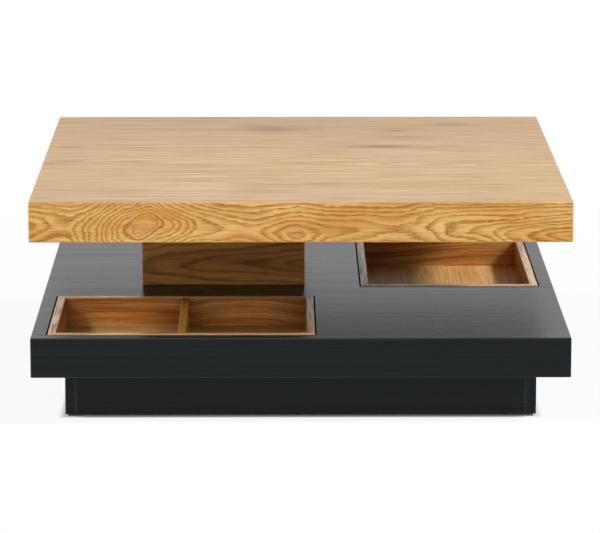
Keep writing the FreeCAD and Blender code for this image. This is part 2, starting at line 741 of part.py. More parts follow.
def tray_shell(name, x_size, y_size):
    """Bottomless box of a tray's size, with its rim and outer corners eased."""
    shell = new_body(name)
    block_feature(shell, "AdditiveBox", "Outside", about("0", x_size), about("0", y_size), ("0", TRAY_HEIGHT))
    inside_x = about("0", f"{x_size} - 2 * tray_wall")
    inside_y = about("0", f"{y_size} - 2 * tray_wall")
    hollow = block_feature(shell, "SubtractiveBox", "Inside", inside_x, inside_y, ("0", TRAY_HEIGHT))
    doc.recompute()
    rim = value(TRAY_HEIGHT)
    corner_x = value(x_size) / 2
    corner_y = value(y_size) / 2
    eased = []
    for number, edge in enumerate(hollow.Shape.Edges, start=1):
        ends = [vertex.Point for vertex in edge.Vertexes]
        on_rim = all(abs(end.z - rim) < SAME for end in ends)
        at_corner_x = all(abs(abs(end.x) - corner_x) < SAME for end in ends)
        at_corner_y = all(abs(abs(end.y) - corner_y) < SAME for end in ends)
        if on_rim or (at_corner_x and at_corner_y):
            eased.append(f"Edge{number}")
    easing = feature(shell, "Chamfer", "Easing", Size="tray_easing")
    easing.Base = (hollow, eased)
    return shell


def make_tray(name, x_size, y_size, x, y, divided):
    """Lift-out tray: four mitred walls, a floor let into them and, in one of the two, a divider."""
    shell = tray_shell(f"{name}_shell", x_size, y_size)
    walls = mitred_sides(shell, x_size, y_size, TRAY_HEIGHT, "tray_wall")
    housed_x = f"{x_size} - 2 * tray_wall + 2 * housing_depth"
    housed_y = f"{y_size} - 2 * tray_wall + 2 * housing_depth"
    floor_top = "tray_floor_lift + tray_floor"
    floor_z = ("tray_floor_lift", floor_top)
    floor = slab(f"{name}_floor_board", about("0", housed_x), about("0", housed_y), floor_z)
    walls = {side: boolean("Cut", wall, floor) for side, wall in walls.items()}
    for side, wall in walls.items():
        piece(place(wall, x, y, SHELF_INSIDE), f"{name}_{side}_wall")
    placed_floor = grouped(f"{name}_placed_floor", [floor])
    piece(place(placed_floor, x, y, SHELF_INSIDE), f"{name}_floor")
    if divided:
        divider_y = about("0", f"{y_size} - 2 * tray_wall")
        divider_z = (floor_top, f"{TRAY_HEIGHT} - divider_drop")
        divider = eased_block("Divider", about("0", "divider_thickness"), divider_y, divider_z, "tray_easing")
        piece(place(divider, x, y, SHELF_INSIDE), f"{name}_divider")


def check_document():
    """Stop if any object failed or any sub-part is not a valid solid."""
    for thing in doc.Objects:
        if "Invalid" in thing.State or "Error" in thing.State:
            raise RuntimeError(f"{thing.Label} failed: {thing.State}")
    for label, thing in pieces:
        if thing.Label != label:
            raise RuntimeError(f"two sub-parts are named {label}")
        if thing.Shape.isNull() or not thing.Shape.isValid() or not thing.Shape.Solids:
            raise RuntimeError(f"{label} is not a valid solid")


def export_pieces():
    """Write each sub-part to its own STEP file."""
    os.makedirs("parts", exist_ok=True)
    for label, thing in pieces:
        thing.Shape.exportStep(f"parts/{label}.step")
        print(f"{label}: {len(thing.Shape.Solids)} solid(s)")


def build_table():
    """Make every sub-part from the floor up, check the document and write the files."""
    fill_sheet()
    make_plinth()
    plinth_bores = make_plinth_fixings()
    bolt_bores = make_pillar()
    make_shelf(plinth_bores, bolt_bores)
    make_pillar_head()
    make_swivel()
    make_top()
    make_tray("divided_tray", "tray_length", "tray_width", DIVIDED_TRAY_X, DIVIDED_TRAY_Y, divided=True)
    make_tray("open_tray", "tray_width", "tray_length", OPEN_TRAY_X, OPEN_TRAY_Y, divided=False)
    doc.recompute()
    check_document()
    export_pieces()


build_table()
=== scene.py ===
"""Looks of the swivel coffee table: its finishes, small fixings, light and camera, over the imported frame."""

import logging
import math
from dataclasses import dataclass, field, replace
from enum import Enum
from typing import Any, Callable, Dict, List, Mapping, Optional, Sequence, Tuple, Union

import bmesh
import bpy
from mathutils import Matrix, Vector


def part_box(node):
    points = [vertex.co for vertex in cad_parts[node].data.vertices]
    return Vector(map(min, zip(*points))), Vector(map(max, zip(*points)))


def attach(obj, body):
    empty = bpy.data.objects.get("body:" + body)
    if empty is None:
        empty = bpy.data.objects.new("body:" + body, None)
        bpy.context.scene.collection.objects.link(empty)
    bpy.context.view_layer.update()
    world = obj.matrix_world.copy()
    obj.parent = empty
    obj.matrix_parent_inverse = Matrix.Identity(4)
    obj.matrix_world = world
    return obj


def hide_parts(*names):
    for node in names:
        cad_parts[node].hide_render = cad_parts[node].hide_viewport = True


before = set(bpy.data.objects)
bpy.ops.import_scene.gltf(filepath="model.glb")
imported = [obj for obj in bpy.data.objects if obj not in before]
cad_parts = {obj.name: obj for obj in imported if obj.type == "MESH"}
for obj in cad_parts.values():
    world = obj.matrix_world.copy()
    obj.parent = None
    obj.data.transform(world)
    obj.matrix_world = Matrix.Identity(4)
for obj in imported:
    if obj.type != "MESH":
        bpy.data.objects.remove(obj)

log = logging.getLogger("swivel_coffee_table")

Colour = Tuple[float, float, float, float]
Point = Tuple[float, float, float]
Span = Tuple[float, float]
Relief = Tuple[float, float]
Box = Tuple[Vector, Vector]
Settings = Optional[Mapping[str, Any]]
Sockets = Optional[Mapping[Union[str, int], Any]]

NOISE_MIDDLE = 0.5
WELD = 1e-6
WHITE: Colour = (1.0, 1.0, 1.0, 1.0)


def shade(*display: int) -> Colour:
    """Turn red, green and blue as displayed, from 0 to 255, into the linear colour that a shader takes."""
    levels = [part / 255 for part in display]
    return (*(x / 12.92 if x <= 0.04045 else ((x + 0.055) / 1.055) ** 2.4 for x in levels), 1.0)


class Axis(Enum):
    """The frame's axes, by their place in a point."""

    X = 0
    Y = 1
    Z = 2


class Side(Enum):
    """The table's sides: the way a board there runs, the way through it, and the sign of inward."""

    FRONT = (Axis.X, Axis.Y, 1.0)
    RIGHT = (Axis.Y, Axis.X, -1.0)
    BACK = (Axis.X, Axis.Y, -1.0)
    LEFT = (Axis.Y, Axis.X, 1.0)

    def __init__(self, along: Axis, through: Axis, inward: float) -> None:
        """Keep what the side's row says, and its word in the names of pieces.

        Args:
            along: The way a board on this side runs.
            through: The way through it.
            inward: 1 where that way leads to the middle of the table, and -1 where it leads out.
        """
        self.along = along
        self.through = through
        self.inward = inward
        self.word = self.name.lower()

    def outer_face(self, box: Box) -> float:
        """Level of the outer face of a board on this side."""
        return (box[0] if self.inward > 0 else box[1])[self.through.value]


def maths_step(operation: str) -> Callable[..., "Signal"]:
    """Make a method of a signal that adds a Math node.

    Args:
        operation: The node's operation.

    Returns:
        The method, which takes the node's other inputs.
    """
    def step(self: "Signal", *others: "Value") -> "Signal":
        """Add the node."""
        return self.sheet.maths(operation, self, *others)

    return step


class Signal:
    """An output socket that takes part in arithmetic, where each step adds a Math node."""

    def __init__(self, sheet: "NodeSheet", socket: bpy.types.NodeSocket) -> None:
        """Wrap a socket of a sheet's tree."""
        self.sheet = sheet
        self.socket = socket

    __add__ = __radd__ = maths_step("ADD")
    __sub__ = maths_step("SUBTRACT")
    __mul__ = __rmul__ = maths_step("MULTIPLY")
    __truediv__ = maths_step("DIVIDE")
    __pow__ = maths_step("POWER")
    __abs__ = maths_step("ABSOLUTE")
    power_of_e = maths_step("EXPONENT")
    after_point = maths_step("FRACT")
    least = maths_step("MINIMUM")
    most = maths_step("MAXIMUM")

    def __rsub__(self, other: "Value") -> "Signal":
        """Difference from a number."""
        return self.sheet.maths("SUBTRACT", other, self)

    def __neg__(self) -> "Signal":
        """Opposite sign."""
        return self * -1.0

    def lifted(self, floor: float) -> "Signal":
        """This value with its 0 raised to a floor and its 1 kept."""
        return self * (1.0 - floor) + floor

    def rise(self, low: float, high: float) -> "Signal":
        """Smooth step from 0 at and below the low value to 1 at and above the high one."""
        sockets = {"Value": self, "From Min": low, "From Max": high}
        return self.sheet.signal("ShaderNodeMapRange", {"interpolation_type": "SMOOTHSTEP"}, sockets)


Value = Union[Signal, float, Sequence[float]]


class NodeSheet:
    """A node tree that is written from Python."""

    def __init__(self, tree: bpy.types.NodeTree) -> None:
        """Take over a tree."""
        self.tree = tree

    def node(self, kind: str, settings: Settings = None, sockets: Sockets = None) -> bpy.types.Node:
        """Add a node.

        Args:
            kind: The node's type.
            settings: Its own properties, which are set first. A ramp's stops are (place, colour) pairs.
            sockets: What each input takes, by name or number: a signal to link, or a value.

        Returns:
            The new node.
        """
        made = self.tree.nodes.new(kind)
        for name, setting in (settings or {}).items():
            if name == "stops":
                self._set_stops(made.color_ramp, setting)
            else:
                setattr(made, name, setting)
        for key, content in (sockets or {}).items():
            if isinstance(content, Signal):
                self.tree.links.new(content.socket, made.inputs[key])
            else:
                made.inputs[key].default_value = content
        return made

    @staticmethod
    def _set_stops(ramp: bpy.types.ColorRamp, stops: Sequence[Tuple[float, Colour]]) -> None:
        """Run a ramp smoothly through its stops.

        Args:
            ramp: The ramp.
            stops: Place and colour of each stop, two or more.
        """
        ramp.interpolation = "CARDINAL"
        while len(ramp.elements) < len(stops):
            ramp.elements.new(0.5)
        for element, (place, colour) in zip(ramp.elements, stops):
            element.position = place
            element.color = colour

    def signal(
        self, kind: str, settings: Settings = None, sockets: Sockets = None, output: Union[str, int] = 0
    ) -> Signal:
        """Add a node as above and take one of its outputs, by name or number."""
        return Signal(self, self.node(kind, settings, sockets).outputs[output])

    def parts(self, kind: str, whole: Signal) -> List[Signal]:
        """All outputs of a node of that type, which takes a signal apart."""
        return [Signal(self, output) for output in self.node(kind, sockets={0: whole}).outputs]

    def place(self, source: str = "Object") -> List[Signal]:
        """A point's three coordinates. Object stands for the frame in metres."""
        return self.parts("ShaderNodeSeparateXYZ", self.signal("ShaderNodeTexCoord", output=source))

    def vector(self, x: Value, y: Value, z: Value) -> Signal:
        """Three values as one vector."""
        return self.signal("ShaderNodeCombineXYZ", sockets={0: x, 1: y, 2: z})

    def maths(self, operation: str, *values: Value) -> Signal:
        """Add a Math node of that operation, with its inputs in order."""
        return self.signal("ShaderNodeMath", {"operation": operation}, dict(enumerate(values)))


class MaterialSheet(NodeSheet):
    """A material's tree, with the nodes that every finish uses."""

    def __init__(self, name: str) -> None:
        """Start an empty material.

        Args:
            name: Its name.
        """
        self.material = bpy.data.materials.new(name)
        self.material.use_nodes = True
        super().__init__(self.material.node_tree)
        self.tree.nodes.clear()
        self.point = self.place()

    def noise(self, x: Value, y: Value, z: Value, detail: float = 2.0) -> Signal:
        """Smooth noise about the middle value, at a point in noise cells, with that many finer octaves."""
        sockets = {"Vector": self.vector(x, y, z), "Scale": 1.0, "Detail": detail}
        return self.signal("ShaderNodeTexNoise", sockets=sockets)

    def specks(self, cells: float, detail: float = 2.0) -> Signal:
        """Noise that is alike in all directions, in cells to the metre."""
        return self.noise(*(part * cells for part in self.point), detail=detail)

    def mix(self, factor: Value, first: Union[Signal, Colour], second: Union[Signal, Colour]) -> Signal:
        """Blend two colours by the share of the second."""
        return self.signal("ShaderNodeMix", {"data_type": "RGBA"}, {0: factor, 6: first, 7: second}, output=2)

    def bump(self, height: Signal, relief: Relief) -> Signal:
        """Normal bent by a height from 0 to 1. The relief is the metres that 1 stands for, and a strength."""
        sockets = {"Height": height, "Distance": relief[0], "Strength": relief[1]}
        return self.signal("ShaderNodeBump", sockets=sockets, output="Normal")

    def surface(self, **sockets: Any) -> bpy.types.Material:
        """Close the tree with a Principled shader.

        Args:
            sockets: The shader's inputs, with an underscore for each space in a name.

        Returns:
            The finished material.
        """
        named = {name.replace("_", " "): content for name, content in sockets.items()}
        shader = self.signal("ShaderNodeBsdfPrincipled", sockets=named)
        self.node("ShaderNodeOutputMaterial", sockets={"Surface": shader})
        return self.material


@dataclass(frozen=True)
class Grain:
    """A noise pattern drawn out along the grain, in cells to the metre.

    Its step gives the noise values between which its marks come in, its detail the octaves of finer noise.
    """

    along: float
    across: float
    step: Span = (0.3, 0.7)
    detail: float = 2.0


@dataclass(frozen=True)
class KnotOrShade:
    """A dark mark in a face, drawn out along the grain: a real knot in some faces, and painted shade in
    others.
    """

    along: float
    across: float
    length: float
    width: float
    depth: float

    def mark(self, run: Signal, side: Signal) -> Signal:
        """Draw the mark.

        Args:
            run: Place along the grain.
            side: Place across it.

        Returns:
            How strongly the mark shows there, from 0 to its depth.
        """
        off_along = (run - self.along) / self.length
        off_across = (side - self.across) / self.width
        return (-(off_along * off_along + off_across * off_across)).power_of_e() * self.depth


@dataclass(frozen=True)
class Cut:
    """How a veneer leaf lies in its log.

    The growth rings centre on the heart, at a level across the face. Its profile follows it along the grain,
    as points of (place, rise above that level, depth below the face): rings close in an eye where it comes
    near the face, and turn back where it is deepest. A heart far off the leaf gives straight grain.
    """

    along: Axis
    across: Axis
    face: float = 0.0
    inward: float = 1.0
    heart: float = 0.0
    profile: Tuple[Point, ...] = ()
    rim: Optional[float] = None
    # Dark marks in the leaf: real knots, and painted shade on some boards.
    knots_and_shade: Tuple[KnotOrShade, ...] = ()

    @property
    def depth(self) -> Axis:
        """The axis through the leaf, which is the one left over."""
        return Axis(Axis.Y.value + Axis.Z.value - self.along.value - self.across.value)


class LeafSheet(MaterialSheet):
    """The material of a veneered board, where a point is told along, across and below its leaf."""

    def __init__(self, name: str, cut: Cut, box: Box) -> None:
        """Start the material of one board.

        Args:
            name: The material's name.
            cut: How the leaf lies in its log.
            box: The board's lowest and highest corners.
        """
        super().__init__(name)
        self.cut = cut
        self.box = box
        self.run = self.point[cut.along.value]
        self.side = self.point[cut.across.value]
        self.depth = (self.point[cut.depth.value] - cut.face) * cut.inward

    def grain(self, grain: Grain, side: Optional[Signal] = None) -> Signal:
        """Noise of that grain, at the leaf's own place across it or at another one."""
        across = (side or self.side) * grain.across
        return self.noise(self.run * grain.along, across, self.depth * grain.across, grain.detail)

    def marks(self, grain: Grain, side: Optional[Signal] = None) -> Signal:
        """Marks of that grain, from 0 to 1."""
        return self.grain(grain, side).rise(*grain.step)

    def edge_nearness(self, width: float) -> Signal:
        """Tell how near a point on a face is to the nearest edge of the board.

        Args:
            width: How far from an edge it begins, in metres.

        Returns:
            The nearness, from 0 away from the edges to 1 on one.
        """
        off_faces = [(here - low).least(high - here) for here, low, high in zip(self.point, *self.box)]
        nearer = off_faces[0].least(off_faces[1])
        farther = off_faces[0].most(off_faces[1])
        return 1.0 - nearer.most(farther.least(off_faces[2])).rise(0.0, width)

    def heart_line(self) -> Tuple[Value, Value]:
        """Find where the heart lies along the leaf.

        Returns:
            Its level across the face and its depth below it, in metres.
        """
        cut = self.cut
        if not cut.profile:
            return cut.heart, 0.0
        places, rises, depths = zip(*cut.profile)
        length = places[-1] - places[0]
        lowest = min(rises)
        span = max(rises) - lowest
        deepest = max(depths)
        stops = [
            ((place - places[0]) / length, ((rise - lowest) / span, depth / deepest, 0.0, 1.0))
            for place, rise, depth in cut.profile
        ]
        ramp = self.signal("ShaderNodeValToRGB", {"stops": stops}, {0: (self.run - places[0]) / length})
        rise, depth, _ = self.parts("ShaderNodeSeparateColor", ramp)
        return rise * span + (cut.heart + lowest), depth * deepest


@dataclass(frozen=True)
class Oak:
    """Oiled oak veneer: growth rings that a cut turns into lines or flames, fibres, pores and rubbed edges.

    A step gives the values between which something comes in, a floor what is left of a mark where it fades.
    """

    pale: Colour
    golden: Colour
    line: Colour
    pore: Colour
    raw: Colour = shade(206, 172, 134)
    ring_spacing: float = 0.0078
    line_strength: float = 0.8
    line_start: float = 0.48
    line_full: float = 0.86
    line_end: Span = (0.9, 1.0)
    pointed: float = 1.7
    flatness: float = 1.0
    core: float = 0.0
    core_growth: float = 2.4
    core_margin: float = 0.001
    year_change: float = 1.3
    weather_pace: float = 0.45
    weather_step: Span = (0.3, 0.7)
    weather_floor: float = 0.75
    sway: Grain = Grain(3.0, 14.0)
    sway_reach: float = 0.016
    jag: Grain = Grain(70.0, 560.0)
    jag_reach: float = 0.003
    dash: Grain = Grain(60.0, 700.0, (0.3, 0.6), 1.0)
    dash_floor: float = 0.7
    patch: Grain = Grain(6.0, 40.0, (0.25, 0.65))
    patch_floor: float = 0.65
    fibre: Grain = Grain(7.0, 330.0, (0.42, 0.72), 3.0)
    fibre_strength: float = 0.25
    pores: Grain = Grain(45.0, 700.0, (0.55, 0.7), 1.0)
    pore_strength: float = 0.35
    pore_floor: float = 0.35
    tone: Grain = Grain(1.4, 11.0)
    knot_and_shade_push: float = 0.02
    knot_and_shade_level: float = 0.5
    knot_and_shade_fibre: float = 0.9
    rim_fade: float = 0.0004
    rim_grain: Grain = Grain(12.0, 620.0, (0.46, 0.6))
    rim_streak: float = 0.75
    rim_coat: float = 0.0
    coat_roughness: float = 0.25
    wear: float = 0.25
    wear_width: float = 0.0015
    wear_step: Span = (0.35, 0.6)
    roughness: float = 0.42
    fibre_dulling: float = 0.12
    line_dulling: float = 0.06
    usual_dulling: float = 0.08
    rubbed_polish: float = 0.1
    gloss: float = 0.5
    level: float = 0.75
    fibre_sink: float = 0.4
    line_sink: float = 0.2
    pore_sink: float = 0.4
    relief: Relief = (0.00025, 0.35)

    def material(self, leaf: LeafSheet) -> bpy.types.Material:
        """Make the finish of one leaf.

        Args:
            leaf: Its sheet, which is still empty.

        Returns:
            The material.
        """
        # Knots, and painted shade where a cut carries it, push the grain aside and darken the leaf.
        knot_and_shade_marks = sum(knot.mark(leaf.run, leaf.side) for knot in leaf.cut.knots_and_shade)
        sway = (leaf.grain(self.sway) - NOISE_MIDDLE) * self.sway_reach + knot_and_shade_marks * self.knot_and_shade_push
        line = self._ring_lines(leaf, sway)
        fibre = leaf.grain(self.fibre, leaf.side + sway)
        pores = leaf.marks(self.pores) * line.lifted(self.pore_floor)

        colour = leaf.mix(leaf.marks(self.tone, leaf.side + sway), self.pale, self.golden)
        colour = leaf.mix(line * self.line_strength, colour, self.line)
        colour = leaf.mix(fibre.rise(*self.fibre.step) * self.fibre_strength, colour, self.line)
        colour = leaf.mix(pores * self.pore_strength, colour, self.pore)
        coat: Value = 0.0
        if leaf.cut.rim is not None:
            streak = leaf.marks(self.rim_grain) * self.rim_streak
            rim = leaf.point[Axis.Z.value].rise(leaf.cut.rim, leaf.cut.rim + self.rim_fade)
            colour = leaf.mix(rim, colour, leaf.mix(streak, self.raw, self.line))
            coat = rim * (1.0 - streak) * self.rim_coat
        # The marks darken towards the pore colour: real knots, and painted shade on some boards.
        colour = leaf.mix(knot_and_shade_marks * (fibre * self.knot_and_shade_fibre + self.knot_and_shade_level), colour, self.pore)
        rubbed = leaf.edge_nearness(self.wear_width) * fibre.rise(*self.wear_step) * self.wear
        colour = leaf.mix(rubbed, colour, self.pale)

        height = self.level - fibre * self.fibre_sink - line * self.line_sink - pores * self.pore_sink
        dulling = fibre * self.fibre_dulling + line * self.line_dulling
        return leaf.surface(
            Base_Color=colour,
            Roughness=dulling + (self.roughness - self.usual_dulling) - rubbed * self.rubbed_polish,
            Specular_IOR_Level=self.gloss,
            Coat_Weight=coat,
            Coat_Roughness=self.coat_roughness,
            Normal=leaf.bump(height, self.relief),
        )

    def _ring_lines(self, leaf: LeafSheet, sway: Signal) -> Signal:
        """Draw the dark late wood of the growth rings.

        Args:
            leaf: The leaf's material.
            sway: How far the grain wanders from its run.

        Returns:
            The lines, from 0 between rings to 1 on them.
        """
        level, heart_depth = leaf.heart_line()
        from_heart = abs(leaf.side - level) * self.flatness
        below = (leaf.depth + heart_depth).most(0.0)
        distance = (from_heart ** self.pointed + below ** self.pointed) ** (1 / self.pointed)
        distance = distance + sway + (leaf.grain(self.jag) - NOISE_MIDDLE) * self.jag_reach
        year = distance / self.ring_spacing
        weather = leaf.noise(year * self.weather_pace, 0.0, 0.0, detail=1.0)
        phase = (year + weather * self.year_change).after_point()
        band = phase.rise(self.line_start, self.line_full) * (1.0 - phase.rise(*self.line_end))
        patch = leaf.marks(self.patch).lifted(self.patch_floor)
        dash = leaf.marks(self.dash).lifted(self.dash_floor)
        ripe_from = self.core * self.core_growth + self.core_margin
        ripe = (distance + self.core_margin).rise(self.core, ripe_from)
        return band * patch * dash * ripe * weather.rise(*self.weather_step).lifted(self.weather_floor)


@dataclass(frozen=True)
class BlackAsh:
    """Black stained veneer with open grain under a thin satin lacquer."""

    black: Colour
    grey: Colour
    worn_and_highlight: Colour
    grain: Grain = Grain(1.6, 420.0, (0.35, 0.8), 3.0)
    grain_light: float = 0.45
    streak: Grain = Grain(0.8, 130.0, (0.3, 0.8))
    streak_light: float = 0.25
    least_light: float = 0.08
    pores: Grain = Grain(18.0, 1400.0, (0.54, 0.7), 1.0)
    pore_shade: float = 0.8
    wear: float = 0.35
    wear_width: float = 0.0012
    wear_step: Span = (0.15, 0.5)
    roughness: float = 0.36
    grain_dulling: float = 0.16
    pore_dulling: float = 0.05
    usual_dulling: float = 0.13
    gloss: float = 0.25
    level: float = 0.3
    grain_lift: float = 0.6
    pore_sink: float = 0.2
    relief: Relief = (0.00005, 0.25)

    def material(self, leaf: LeafSheet) -> bpy.types.Material:
        """Make the finish of one leaf.

        Args:
            leaf: Its sheet, which is still empty.

        Returns:
            The material.
        """
        grain = leaf.grain(self.grain)
        streak = leaf.grain(self.streak)
        pores = leaf.marks(self.pores)

        light = grain.rise(*self.grain.step) * self.grain_light
        light = light + streak.rise(*self.streak.step) * self.streak_light + self.least_light
        colour = leaf.mix(light * (1.0 - pores * self.pore_shade), self.black, self.grey)
        # The edges turn towards the worn colour: partly wear, and partly a painted highlight, the pale line
        # where an edge or a joint catches the light.
        rubbed = leaf.edge_nearness(self.wear_width) * grain.rise(*self.wear_step) * self.wear
        colour = leaf.mix(rubbed, colour, self.worn_and_highlight)

        height = grain * self.grain_lift + self.level - pores * self.pore_sink
        dulling = grain * self.grain_dulling + streak * self.grain_dulling
        return leaf.surface(
            Base_Color=colour,
            Roughness=dulling + (self.roughness - self.usual_dulling) + pores * self.pore_dulling,
            Specular_IOR_Level=self.gloss,
            Normal=leaf.bump(height, self.relief),
        )


@dataclass(frozen=True)
class CoreBoard:
    """Raw fibreboard, as inside hollow boards: brown with fine light and dark fibres."""

    brown: Colour
    fibre: Colour
    speck_cells: float = 900.0
    speck_step: Span = (0.35, 0.7)
    speck_share: float = 0.6
    cloud_cells: float = 14.0
    cloud_share: float = 0.3
    roughness: float = 0.7
    dulling: float = 0.2
    relief: Relief = (0.0002, 0.4)

    def material(self, name: str) -> bpy.types.Material:
        """Make the finish.

        Args:
            name: The material's name.

        Returns:
            The material.
        """
        sheet = MaterialSheet(name)
        speck = sheet.specks(self.speck_cells, detail=3.0)
        cloud = sheet.specks(self.cloud_cells) * self.cloud_share
        light = speck.rise(*self.speck_step) * self.speck_share + cloud
        return sheet.surface(
            Base_Color=sheet.mix(light, self.brown, self.fibre),
            Roughness=speck * self.dulling + self.roughness,
            Normal=sheet.bump(speck, self.relief),
        )


@dataclass(frozen=True)
class Metal:
    """Plated or bare metal with drawn marks and a few dull patches."""

    bright: Colour
    dull: Colour
    roughness: float = 0.32
    mark_cells: Point = (300.0, 300.0, 2600.0)
    patch_cells: float = 120.0
    patch_step: Span = (0.4, 0.75)
    dulling: float = 0.15
    relief: Relief = (0.00005, 0.3)

    def material(self, name: str) -> bpy.types.Material:
        """Make the finish.

        Args:
            name: The material's name.

        Returns:
            The material.
        """
        sheet = MaterialSheet(name)
        marks = sheet.noise(*(part * cells for part, cells in zip(sheet.point, self.mark_cells)))
        patch = sheet.specks(self.patch_cells)
        return sheet.surface(
            Base_Color=sheet.mix(patch.rise(*self.patch_step), self.bright, self.dull),
            Metallic=1.0,
            Roughness=marks * self.dulling + patch * self.dulling + (self.roughness - self.dulling),
            Normal=sheet.bump(marks, self.relief),
        )


@dataclass(frozen=True)
class Moulded:
    """Moulded plastic with a fine spark-eroded skin and scuffs."""

    colour: Colour
    scuff: Colour
    skin_cells: float = 2200.0
    scuff_cells: float = 160.0
    scuff_step: Span = (0.55, 0.75)
    scuff_share: float = 0.5
    roughness: float = 0.4
    skin_dulling: float = 0.15
    scuff_dulling: float = 0.2
    relief: Relief = (0.00008, 0.4)

    def material(self, name: str) -> bpy.types.Material:
        """Make the finish.

        Args:
            name: The material's name.

        Returns:
            The material.
        """
        sheet = MaterialSheet(name)
        skin = sheet.specks(self.skin_cells, detail=1.0)
        scuffs = sheet.specks(self.scuff_cells, detail=3.0).rise(*self.scuff_step)
        return sheet.surface(
            Base_Color=sheet.mix(scuffs * self.scuff_share, self.colour, self.scuff),
            Roughness=skin * self.skin_dulling + scuffs * self.scuff_dulling + self.roughness,
            Normal=sheet.bump(skin, self.relief),
        )


OAK_FACE = Oak(
    pale=shade(211, 177, 129), golden=shade(184, 146, 90), line=shade(146, 104, 48), pore=shade(108, 70, 18),
    ring_spacing=0.012, line_strength=0.6, line_start=0.3, fibre_strength=0.85, wear=0.2,
    sway=Grain(2.4, 9.0), sway_reach=0.022, tone=Grain(3.0, 80.0),
    fibre=Grain(9.0, 330.0, (0.42, 0.72), 3.0),
)
OAK_BACKING = replace(
    OAK_FACE, pale=shade(132, 110, 86), golden=shade(114, 93, 70), line=shade(94, 74, 54),
)
OAK_FLAME = Oak(
    pale=shade(238, 190, 113), golden=shade(216, 160, 82), line=shade(164, 98, 8), pore=shade(104, 60, 12),
    ring_spacing=0.0036, line_strength=1.0, line_start=0.22, sway=Grain(9.0, 30.0), sway_reach=0.01,
    jag=Grain(60.0, 520.0), jag_reach=0.003, flatness=0.8, core=0.005, tone=Grain(7.0, 26.0),
    fibre_strength=0.35, pore_strength=0.5, gloss=0.3,
)
OAK_PILLAR = Oak(
    pale=shade(230, 165, 83), golden=shade(202, 133, 57), line=shade(96, 56, 18), pore=shade(76, 46, 16),
    ring_spacing=0.0086, line_strength=0.75, line_start=0.45, sway=Grain(8.0, 26.0), sway_reach=0.014,
    jag=Grain(40.0, 400.0), jag_reach=0.0026, tone=Grain(4.0, 40.0), gloss=0.3,
)
OAK_TRAY = Oak(
    pale=shade(240, 176, 98), golden=shade(188, 116, 48), line=shade(96, 48, 14), pore=shade(70, 38, 14),
    raw=shade(234, 198, 156), ring_spacing=0.0028, line_strength=0.5, fibre_strength=0.7, roughness=0.5,
    sway=Grain(5.0, 24.0), sway_reach=0.01, tone=Grain(3.0, 75.0), gloss=0.15,
    fibre=Grain(8.0, 760.0, (0.42, 0.72), 3.0), wear=0.8, wear_width=0.0022, rim_coat=0.6,
)
OAK_TRAY_FLOOR = replace(
    OAK_TRAY, pale=shade(252, 200, 128), golden=shade(234, 174, 104), ring_spacing=0.0021,
    line_strength=0.35, fibre_strength=0.55, tone=Grain(2.0, 30.0),
)
OAK_DIVIDER = replace(OAK_TRAY, raw=shade(255, 182, 86), rim_streak=0.2, rim_coat=0.1)
# Edges take the worn colour: partly wear, and partly a painted highlight along the shelf's edges and the
# plinth's joints.
BLACK_ASH = BlackAsh(
    black=shade(11, 17, 19), grey=shade(28, 36, 39), worn_and_highlight=shade(92, 94, 92), roughness=0.24, gloss=0.15,
)
BLACK_PLINTH = replace(BLACK_ASH, worn_and_highlight=shade(104, 107, 105), wear=0.6, wear_width=0.0015)
CORE_BOARD = CoreBoard(brown=shade(150, 112, 74), fibre=shade(196, 164, 122))
STEEL = Metal(bright=shade(206, 208, 210), dull=shade(158, 160, 162))
ALUMINIUM = Metal(bright=shade(222, 224, 226), dull=shade(188, 190, 194), roughness=0.38)
PLASTIC = Moulded(colour=shade(34, 34, 36), scuff=shade(84, 84, 86))


def stand(name: str, data: bpy.types.ID) -> bpy.types.Object:
    """Put an object of that name into the scene.

    Args:
        name: The object's name.
        data: Its mesh, lamp or camera.

    Returns:
        The object.
    """
    made = bpy.data.objects.new(name, data)
    bpy.context.scene.collection.objects.link(made)
    return made


def paint(node: str, material: bpy.types.Material) -> None:
    """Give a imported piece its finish.

    Args:
        node: The piece's name.
        material: Its material.
    """
    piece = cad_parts[node]
    if not piece.material_slots:
        piece.data.materials.append(material)
    for slot in piece.material_slots:
        slot.material = material
    log.info("%s: %s", node, material.name)


def veneer(node: str, finish: Union[Oak, BlackAsh], name: str, cut: Cut) -> None:
    """Give a packed board a leaf of a finish, cut that way, as a material of that name."""
    paint(node, finish.material(LeafSheet(name, cut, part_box(node))))


def solid_boxes(node: str) -> List[Box]:
    """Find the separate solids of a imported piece.

    Args:
        node: The piece's name.

    Returns:
        Lowest and highest corner of each solid.
    """
    mesh = bmesh.new()
    mesh.from_mesh(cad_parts[node].data)
    bmesh.ops.remove_doubles(mesh, verts=mesh.verts, dist=WELD)
    reached = set()
    boxes: List[Box] = []
    for start in mesh.verts:
        if start in reached:
            continue
        reached.add(start)
        island = [start]
        for vertex in island:
            beside = [edge.other_vert(vertex) for edge in vertex.link_edges]
            island.extend(other for other in beside if other not in reached)
            reached.update(beside)
        columns = list(zip(*(vertex.co for vertex in island)))
        boxes.append((Vector(map(min, columns)), Vector(map(max, columns))))
    mesh.free()
    return boxes


